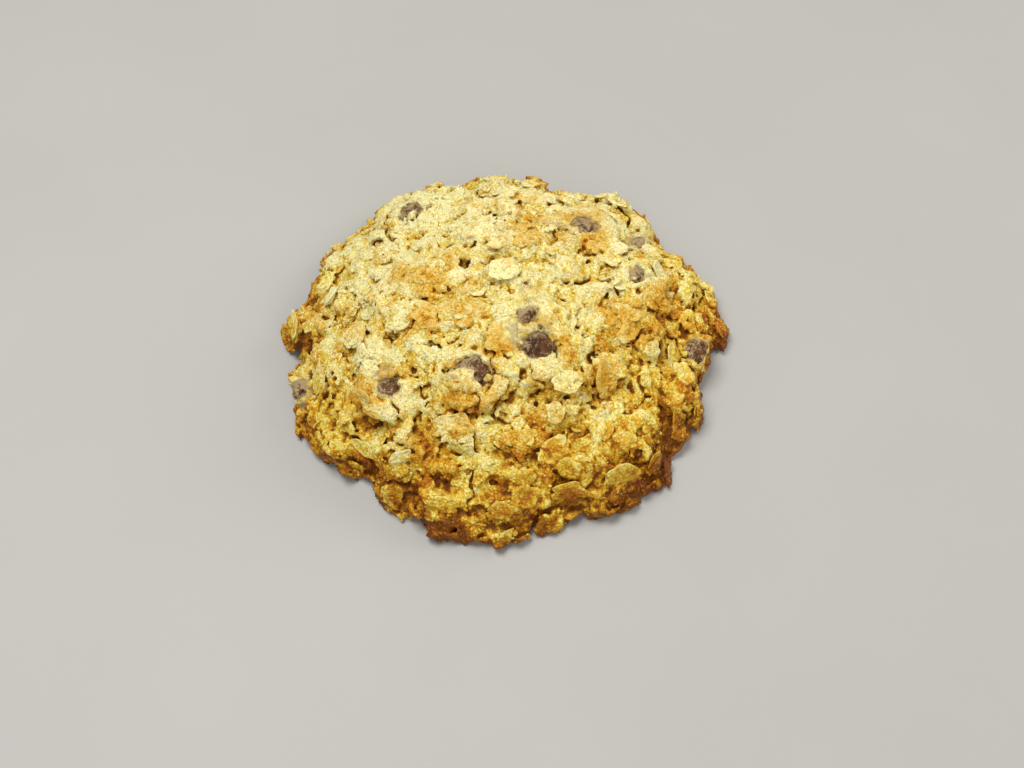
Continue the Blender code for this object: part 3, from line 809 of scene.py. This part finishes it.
class Nodes:
    """Short ways to add and join a material's nodes."""

    def __init__(self, name):
        self.material = bpy.data.materials.new(name)
        self.material.use_nodes = True
        self.tree = self.material.node_tree
        self.shader = self.tree.nodes["Principled BSDF"]
        self.place = self.add("ShaderNodeTexCoord").outputs["Object"]

    def add(self, kind, inputs=None, **settings):
        node = self.tree.nodes.new(kind)
        for key, value in settings.items():
            setattr(node, key, value)
        for key, value in (inputs or {}).items():
            self.feed(node.inputs[key], value)
        return node

    def feed(self, socket, value):
        if isinstance(value, bpy.types.NodeSocket):
            self.tree.links.new(value, socket)
        else:
            socket.default_value = value

    def attribute(self, name):
        return self.add("ShaderNodeAttribute", attribute_name=name).outputs["Fac"]

    def noise(self, length, detail, rough):
        """Noise of this wavelength, from 0 to 1."""
        inputs = {"Vector": self.place, "Scale": 1 / (length * MM), "Detail": detail, "Roughness": rough}
        return self.add("ShaderNodeTexNoise", inputs).outputs["Fac"]

    def grains(self, length):
        """Rounded grains of this size: 1 in the middle of each, near 0 between them."""
        inputs = {"Vector": self.place, "Scale": 1 / (length * MM), "Randomness": 1.0}
        distance = self.add("ShaderNodeTexVoronoi", inputs).outputs["Distance"]
        return self.math("SUBTRACT", 1.0, self.times(distance, 1.2), clamp=True)

    def math(self, operation, a, b, clamp=False):
        node = self.add("ShaderNodeMath", {0: a, 1: b}, operation=operation, use_clamp=clamp)
        return node.outputs[0]

    def times(self, a, b):
        return self.math("MULTIPLY", a, b)

    def between(self, value, low, high):
        """The value stretched so that low gives 0 and high gives 1."""
        inputs = {"Value": value, "From Min": low, "From Max": high}
        return self.add("ShaderNodeMapRange", inputs, interpolation_type="SMOOTHSTEP").outputs[0]

    def total(self, start, *terms):
        """The start and each term added up. A term is (factor, value, middle): factor * (value - middle)."""
        for factor, value, middle in terms:
            start = self.math("ADD", start, self.times(self.math("SUBTRACT", value, middle), factor))
        return start

    def ramp(self, value, stops):
        node = self.add("ShaderNodeValToRGB", {0: value})
        for _ in stops[2:]:
            node.color_ramp.elements.new(0.5)
        for element, (place, colour) in zip(node.color_ramp.elements, stops):
            element.position = place
            element.color = (*colour, 1.0)
        return node.outputs[0]

    def mix(self, share, a, b, blend="MIX"):
        """Two colours mixed, by the node's sockets for colours: 6 and 7 in, and 2 out."""
        node = self.add("ShaderNodeMix", data_type="RGBA", blend_type=blend)
        for socket, value in zip((node.inputs[0], node.inputs[6], node.inputs[7]), (share, a, b)):
            if isinstance(value, tuple):
                value = (*value, 1.0)
            self.feed(socket, value)
        return node.outputs[2]

    def bump(self, height, distance, normal=None):
        """The way out of a surface with this relief, whose height is given for a value of 1."""
        inputs = {"Height": height, "Distance": distance * MM, "Strength": 1.0}
        if normal is not None:
            inputs["Normal"] = normal
        return self.add("ShaderNodeBump", inputs).outputs[0]

    def finished(self, inputs):
        """The material, with these inputs on its shader."""
        for name, value in inputs.items():
            self.feed(self.shader.inputs[name], value)
        return self.material


def dough_material():
    """Dough and oats: browner the more toasted a place is, darker and browner the deeper and steeper it is,
    as painted shade, and darker low down, partly browning and partly painted shade.
    """
    nodes = Nodes("baked_dough")
    crevice_shade, fold_shade, steep, toast, low, foot, film, shade, oat, edge = map(nodes.attribute, LOOKS)
    patches = nodes.noise(7.0, 3.0, 0.65)
    spots = nodes.between(nodes.noise(3.2, 2.0, 0.6), 0.52, 0.66)
    mottle = nodes.noise(1.9, 4.0, 0.65)
    grain = nodes.grains(0.78)
    fine = nodes.noise(0.5, 2.0, 0.6)
    # Painted shade in the gaps between the bumped grains: darker and browner there.
    grain_gap_shade = nodes.between(nodes.total(grain, (0.8, mottle, 0.5), (0.6, fine, 0.5)), 0.52, 0.34)
    # Painted shade: fine dark dots where the bumped relief is low.
    dot_shade = nodes.between(nodes.total(fine, (0.5, mottle, 0.5)), 0.40, 0.33)

    # Painted shade: the more filled the dough is around a point, the darker and browner it is painted, most
    # in pits, crevices and creases.
    deep_shade = nodes.between(crevice_shade, 0.56, 0.78)
    crevice_shade = nodes.math("MAXIMUM", crevice_shade, 0.40)
    baked_and_shaded = nodes.total(
        0.11,
        (1.4, crevice_shade, 0.5),
        (0.8, deep_shade, 0.0),
        (1.3, fold_shade, 0.5),
        # Steep slopes are painted darker: painted shade.
        (0.35, steep, 0.2),
        (0.35, toast, 0.2),
        (0.45, low, 0.0),
        (0.44, foot, 0.0),
        (1.3, patches, 0.5),
        (0.16, spots, 0.35),
        (0.8, mottle, 0.5),
        (0.30, shade, 0.5),
        (0.20, grain_gap_shade, 0.0),
    )
    oat_baked_and_shaded = nodes.total(
        0.13,
        (1.4, crevice_shade, 0.5),
        (0.5, deep_shade, 0.0),
        (0.35, steep, 0.2),
        (0.15, toast, 0.2),
        (0.45, low, 0.0),
        (0.32, foot, 0.0),
        (0.8, patches, 0.5),
        (0.7, mottle, 0.5),
        (0.45, shade, 0.5),
        (0.15, grain_gap_shade, 0.0),
        (-0.30, edge, 0.3),
    )
    baked_and_shaded = nodes.total(baked_and_shaded, (oat, oat_baked_and_shaded, baked_and_shaded))
    colour = nodes.ramp(baked_and_shaded, BAKED_AND_SHADED)
    # Lower sides and foot darker and more saturated: partly browning, partly painted shade.
    colour = nodes.mix(nodes.between(low, -0.2, 0.6), colour, LOW_TINT, "MULTIPLY")
    burnt = nodes.total(toast, (1.8, patches, 0.5), (1.4, mottle, 0.5), (0.7, shade, 0.5))
    burnt = nodes.total(burnt, (-2.0, crevice_shade, 0.47))
    colour = nodes.mix(nodes.between(burnt, 0.28, 0.78), colour, TOAST_TINT, "MULTIPLY")
    # Flour and chocolate grey the dough, unevenly.
    veil = nodes.total(film, (0.9, mottle, 0.5), (0.6, fine, 0.5), (-0.5, grain_gap_shade, 0.0))
    veil = nodes.times(nodes.between(veil, 0.1, 0.8), nodes.between(film, 0.0, 0.25))
    colour = nodes.mix(nodes.times(veil, 0.75), colour, DUSTY)
    colour = nodes.mix(nodes.times(grain_gap_shade, 0.55), colour, GRAIN_GAP_SHADE, "MULTIPLY")
    colour = nodes.mix(nodes.times(dot_shade, 0.8), colour, DOT_SHADE, "MULTIPLY")

    # Oats are smoother than the dough, and so is the well baked crust low down.
    height = nodes.total(grain, (1.2, fine, 0.5))
    height = nodes.times(height, nodes.total(1.0, (-0.55, oat, 0.0), (-0.3, low, 0.0)))
    inputs = {
        "Base Color": colour,
        "Roughness": nodes.total(0.74, (-0.34, low, 0.0)),
        "Specular IOR Level": 0.22,
        "Subsurface Weight": 0.25,
        "Subsurface Radius": (1.0, 0.5, 0.15),
        "Subsurface Scale": 0.8 * MM,
        "Normal": nodes.bump(mottle, 1.1, nodes.bump(height, 0.29)),
    }
    return nodes.finished(inputs)


def chip_material():
    """Chocolate under an uneven film of flour and bloom, and painted lighter on the side that faces the
    light, a painted highlight.
    """
    nodes = Nodes("chocolate")
    dust_and_highlight = nodes.attribute("dust_and_highlight")
    bloom = nodes.noise(1.6, 5.0, 0.7)
    dust = nodes.noise(0.40, 2.0, 0.6)
    wave = nodes.noise(3.0, 3.0, 0.6)
    colour = nodes.mix(nodes.between(wave, 0.35, 0.7), DARK_CHOCOLATE, LIGHT_CHOCOLATE)
    # Flour and bloom, and the painted highlight on the side that faces the light.
    highlight_and_dust_cover = nodes.total(dust_and_highlight, (2.6, bloom, 0.5), (1.4, dust, 0.5))
    inputs = {
        "Base Color": nodes.mix(nodes.times(nodes.between(highlight_and_dust_cover, 0.2, 1.0), 0.85), colour, FLOUR_AND_HIGHLIGHT),
        "Roughness": nodes.total(0.42, (0.35, highlight_and_dust_cover, 0.2)),
        "Specular IOR Level": 0.20,
        "Normal": nodes.bump(bloom, 0.3, nodes.bump(dust, 0.2)),
    }
    return nodes.finished(inputs)


def floor_material():
    nodes = Nodes("floor")
    colour = nodes.mix(nodes.noise(60.0, 3.0, 0.5), DARK_FLOOR, LIGHT_FLOOR)
    return nodes.finished({"Base Color": colour, "Roughness": 0.6})


def measure_looks(field, smooth, chips):
    """Adds the looks that depend on place alone to the field: how deep, toasted, low or greyed it is."""
    filled = (field.values < 0).astype(np.float32)
    slopes = np.gradient(field.blurred(field.values, 1.0))
    upward = slopes[2] / np.maximum(np.sqrt(sum(np.square(slope) for slope in slopes)), 1e-6)
    across, along, up = (axis.astype(np.float32) for axis in map(field.axis, range(3)))
    looks = {
        # How filled the dough is around a point, near and wider: the material paints shade from these.
        "crevice_shade": field.blurred(filled, CREVICE_SHADE_REACH),
        "fold_shade": field.blurred(filled, FOLD_SHADE_REACH),
        # How steep it is: the material paints steep slopes darker, as painted shade.
        "steep": np.clip(1 - upward, 0, 1),
        "film": np.clip(1.2 - chips / 0.9 + 0.4 * field.noise(1.6, 33), 0, 1) * (up > 0.5),
    }
    toast = 0.20 + 0.20 * np.clip(smooth / 1.5, -0.5, 1) + 0.15 * field.noise(13.0, 31)
    for x, y, radius, strength in TOASTED:
        away = ((across[:, None] - x) ** 2 + (along - y) ** 2) / radius**2
        toast += (0.80 * strength * np.exp(-away))[..., None] * (up > TOP_LOWEST)
    looks["toast"] = np.clip(toast, 0, 1)
    grey = 0.35 * field.noise(1.8, 34)
    for x, y, length, width, strength in GREYED:
        away = ((across[:, None] - x) / length) ** 2 + ((along - y) / width) ** 2
        greyed = np.clip(strength * np.exp(-away)[..., None] + grey - 0.2, 0, 1) * (away < 3)[..., None]
        looks["film"] = np.maximum(looks["film"], greyed * (up > TOP_LOWEST))
    uneven = up + 2.0 * field.noise(9.0, 32)
    side_darkening = SIDE_DARKENING_FRONT * (abs(along - PALEST_LINE) - PALEST_LINE)[:, None]
    side_darkening = (side_darkening + SIDE_DARKENING_RIGHT * across[:, None, None]) / SIDE_DARKENING_REACH
    # The material darkens low places and the foot: partly browning, partly painted shade.
    looks["low"] = np.clip(1 - uneven / LOW_HEIGHT, -0.15, 1) + side_darkening
    looks["foot"] = np.clip(1 - uneven / FOOT_HEIGHT, 0, 1)
    field.looks.update(looks)


def give_looks(obj, field, **given):
    """Each look as an attribute of the object: as given, or else read from the grid."""
    points = vertices_of(obj).astype(float) / MM
    for name in LOOKS:
        if name in given:
            values = np.broadcast_to(given[name], len(points))
        else:
            values = field.sample(field.looks[name], points)
        add_attribute(obj, name, values)


def set_as_dough(obj, field, **given):
    give_looks(obj, field, **given)
    obj.data.materials.append(DOUGH_MATERIAL)
    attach(obj, "root")


def make_dough(field):
    points, quads = field.mesh()
    obj = object_from("dough_crust", points, quads)
    thin_out(obj, DOUGH_TRIANGLES)
    obj.data.shade_smooth()
    set_as_dough(obj, field, edge=0.0)
    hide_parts("cookie_dough")


def flake_shape(length, width, thickness, draw):
    """One rolled oat about the origin: points, triangles and how near each point is to its edge."""
    turn = np.arange(FLAKE_SEGMENTS) * math.tau / FLAKE_SEGMENTS
    phase = draw.uniform(0, math.tau, 4)
    outline = 1 + sum(0.06 * np.sin((i + 2) * turn + phase[i]) for i in range(4))
    outline += 0.035 * draw.standard_normal(FLAKE_SEGMENTS)
    outline -= draw.uniform(0.05, 0.3) * np.exp(-((turn - math.pi) / 0.22) ** 2)
    rings = [np.zeros((1, 2))]
    for ring in FLAKE_RINGS:
        reach = 0.5 * ring * outline
        rings.append(np.stack([length * reach * np.cos(turn), width * reach * np.sin(turn)], axis=1))
    flat = np.concatenate(rings)
    edge = np.concatenate([[0.0], np.repeat(FLAKE_RINGS, FLAKE_SEGMENTS)])
    x, y = flat.T
    middle = draw.uniform(0.0, 0.035) * (x**2 + y**2) + draw.uniform(-0.03, 0.03) * x * y
    middle -= 0.18 * np.exp(-((y / (0.09 * width)) ** 2)) * (1 - edge**4)
    middle += 0.12 * np.sin(x * draw.uniform(0.8, 1.6) + phase[0]) * np.cos(y * 1.1 + phase[1])
    half = 0.5 * thickness * np.sqrt(1 - edge**6)
    top = np.column_stack([flat, middle + half])
    inner = len(flat) - FLAKE_SEGMENTS
    under = np.column_stack([flat, middle - half])[:inner]
    points = np.concatenate([top, under])
    faces = []
    for first, side in ((0, 1), (len(flat), -1)):
        for i in range(FLAKE_SEGMENTS):
            j = (i + 1) % FLAKE_SEGMENTS
            faces.append((first, first + 1 + i, first + 1 + j)[::side])
            for ring in range(len(FLAKE_RINGS) - 1):
                a = first + 1 + ring * FLAKE_SEGMENTS
                b = a + FLAKE_SEGMENTS if ring < len(FLAKE_RINGS) - 2 or first == 0 else inner
                faces.append((a + i, b + i, b + j)[::side])
                faces.append((a + i, b + j, a + j)[::side])
    return points, np.array(faces), np.concatenate([edge, edge[:inner]])


def joined(shapes):
    """Shapes given as (points, faces, *attributes), as one."""
    starts = np.cumsum([0] + [len(shape[0]) for shape in shapes[:-1]])
    points = np.concatenate([shape[0] for shape in shapes])
    faces = np.concatenate([shape[1] + start for shape, start in zip(shapes, starts)])
    more = [np.concatenate([shape[i] for shape in shapes]) for i in range(2, len(shapes[0]))]
    return points, faces, *more


def make_flakes(field, calm, chips, surface):
    draw = np.random.default_rng(FLAKE_SEED)
    shapes = []

    def add(spot, axes, length, width, tone):
        flake, faces, edge = flake_shape(length, width, draw.uniform(*FLAKE_THICKNESS), draw)
        shapes.append((flake @ axes + spot, faces, edge, np.full(len(flake), tone)))

    for spot, normal, axes, length, width, tone, rise in listed_oats(field, calm):
        add(spot + normal * (rise - LISTED_FLAKE_SINK), axes, length, width, tone)
    listed = np.array([oat[:2] for oat in OATS])
    for spot, normal in places(field, surface, chips, draw, *FLAKE_ROOM, calm):
        apart = np.square(listed - spot[:2]).sum(axis=1).min() ** 0.5
        if spot[2] < FLAKE_LOWEST or apart < FLAKE_APART or normal[2] < 0.3:
            continue
        length = draw.uniform(*FLAKE_LENGTH)
        axes = any_way(normal, FLAKE_LEAN, draw)
        spot = spot + normal * draw.uniform(*FLAKE_RISE)
        add(spot, axes, length, length * draw.uniform(*FLAKE_WIDTH), draw.uniform(0, 1))
    points, faces, edge, shade = joined(shapes)
    obj = object_from("oat_flakes", points, faces)
    set_as_dough(obj, field, edge=edge**3, shade=shade, oat=1.0)


def ball(subdivisions):
    """A ball of radius 1."""
    bpy.ops.mesh.primitive_ico_sphere_add(subdivisions=subdivisions, radius=1)
    obj = bpy.context.object
    points, triangles = mesh_arrays(obj)
    bpy.data.objects.remove(obj)
    return points * MM, triangles


def make_crumbs(field, chips, surface, name, room, subdivisions, radius, seed):
    """Crumbs of dough of one kind, as one piece."""
    draw = np.random.default_rng(seed)
    rough, faces = ball(subdivisions)
    shapes = []
    for spot, normal in places(field, surface, chips, draw, *room):
        if spot[2] < LOOSE_CRUMB_LOWEST:
            continue
        radii = draw.uniform(*radius) * draw.uniform(0.6, 1.0, 3)
        crumb = rough * draw.uniform(0.75, 1.15, (len(rough), 1)) * radii
        axes = any_way(normal, 1, draw)
        spot = spot - 0.4 * radii.min() * normal
        shapes.append((crumb @ axes + spot, faces, np.full(len(crumb), draw.uniform(0, 1))))
    points, faces, shade = joined(shapes)
    obj = object_from(name, points, faces)
    set_as_dough(obj, field, edge=0.0, shade=shade, oat=0.0)


def make_chips(dough):
    material = chip_material()
    for index, (name, node) in enumerate(sorted(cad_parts.items())):
        if not name.startswith("chip"):
            continue
        points, triangles = mesh_arrays(node)
        field = Field(points.min(axis=0) - CHIP_MARGIN, points.max(axis=0) + CHIP_MARGIN, CHIP_VOXEL)
        field.values = field.blurred(field.solid(points, triangles), CHIP_BLUR)
        field.values -= field.waves((length, height, seed + index) for length, height, seed in CHIP_WAVES)
        points, quads = field.mesh()
        obj = object_from(name + "_chocolate", points, quads)
        # The dust is thickest where the dough meets the chip. The side that faces the light is painted
        # lighter, a painted highlight.
        clear = np.clip(dough.sample(dough.values, points), 0, None)
        # Painted highlight: the side that faces the light gets more of the flour colour.
        turned = np.clip(field.normals(points) @ HIGHLIGHT_SIDE, 0, 1)
        dust_and_highlight = CHIP_DUST[name] + 0.4 * np.exp(-np.square(clear / 0.8)) + 0.6 * turned**2
        add_attribute(obj, "dust_and_highlight", dust_and_highlight)
        obj.data.materials.append(material)
        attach(obj, "root")
        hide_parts(name)


def make_floor():
    bpy.ops.mesh.primitive_plane_add(size=FLOOR_SIZE)
    floor = bpy.context.object
    floor.name = "studio_floor"
    floor.data.materials.append(floor_material())


def make_camera():
    camera = bpy.data.objects.new("camera", bpy.data.cameras.new("camera"))
    bpy.context.scene.collection.objects.link(camera)
    camera.location = CAMERA_PLACE
    camera.rotation_euler = (math.radians(90 - CAMERA_PITCH), 0, 0)
    camera.data.lens = CAMERA_LENS
    camera.data.sensor_width = CAMERA_SENSOR
    camera.data.clip_start = CAMERA_NEAREST
    bpy.context.scene.camera = camera


def make_light():
    for name, place, size, power, colour in LIGHTS:
        data = bpy.data.lights.new(name, "AREA")
        data.size = size
        data.energy = power
        data.color = colour
        light = bpy.data.objects.new(name, data)
        bpy.context.scene.collection.objects.link(light)
        light.location = place
        light.rotation_euler = (-Vector(place)).to_track_quat("-Z", "Y").to_euler()
    world = bpy.data.worlds.new("studio")
    world.use_nodes = True
    background = world.node_tree.nodes["Background"]
    background.inputs["Color"].default_value = SKY
    background.inputs["Strength"].default_value = SKY_STRENGTH
    bpy.context.scene.world = world
    bpy.context.scene.view_settings.view_transform = "Standard"


DOUGH_MATERIAL = dough_material()
dough_field, smooth_field, calm_field, chip_field, packed = make_dough_field()
measure_looks(dough_field, smooth_field, chip_field)
make_dough(dough_field)
make_flakes(dough_field, calm_field, chip_field, packed)
for crumbs in LOOSE_CRUMBS:
    make_crumbs(dough_field, chip_field, packed, *crumbs)
make_chips(dough_field)
make_floor()
make_camera()
make_light()
